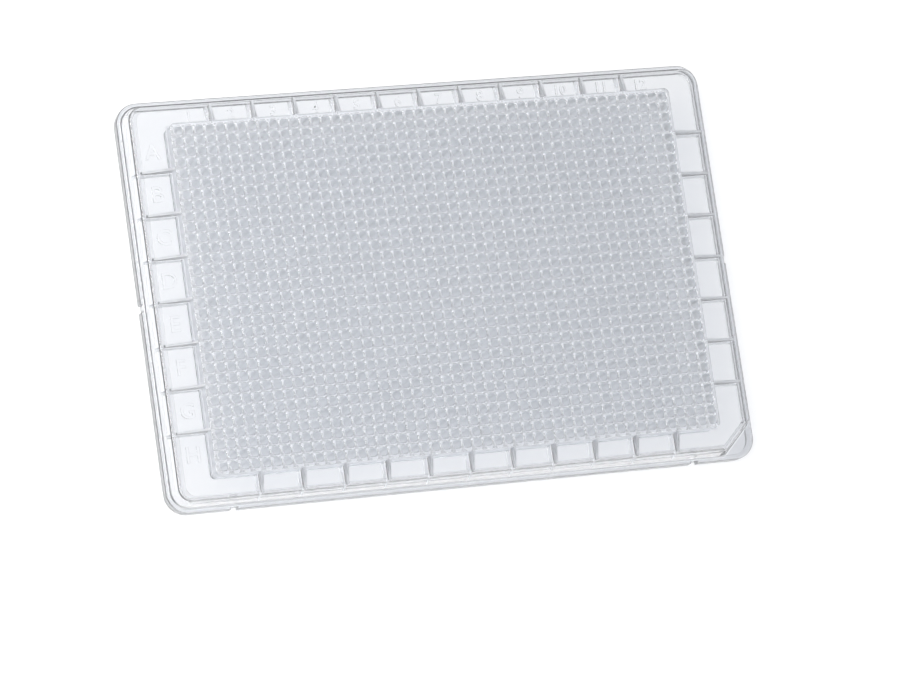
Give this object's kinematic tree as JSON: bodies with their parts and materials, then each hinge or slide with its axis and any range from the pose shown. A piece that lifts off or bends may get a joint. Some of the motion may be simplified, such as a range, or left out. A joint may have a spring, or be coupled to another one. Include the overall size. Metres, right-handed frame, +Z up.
{
  "type": "well plate",
  "caption": "Clear moulded assay plate: a raised block of small square tapered wells on a ribbed deck, a leaning skirt with a cut corner, and a base flange.",
  "frame": {"origin": "middle of the footprint, on the plane that the plate rests on", "axes": "+X along the length from column 1 to column 12, +Y across towards row A, +Z up out of the wells"},
  "size_m": [0.1278, 0.0854, 0.0089],
  "materials": {
    "clear_plastic": "clear moulded polystyrene, gloss"
  },
  "bodies": {
    "root": {"well_plate": "clear_plastic"}
  },
  "joints": []
}
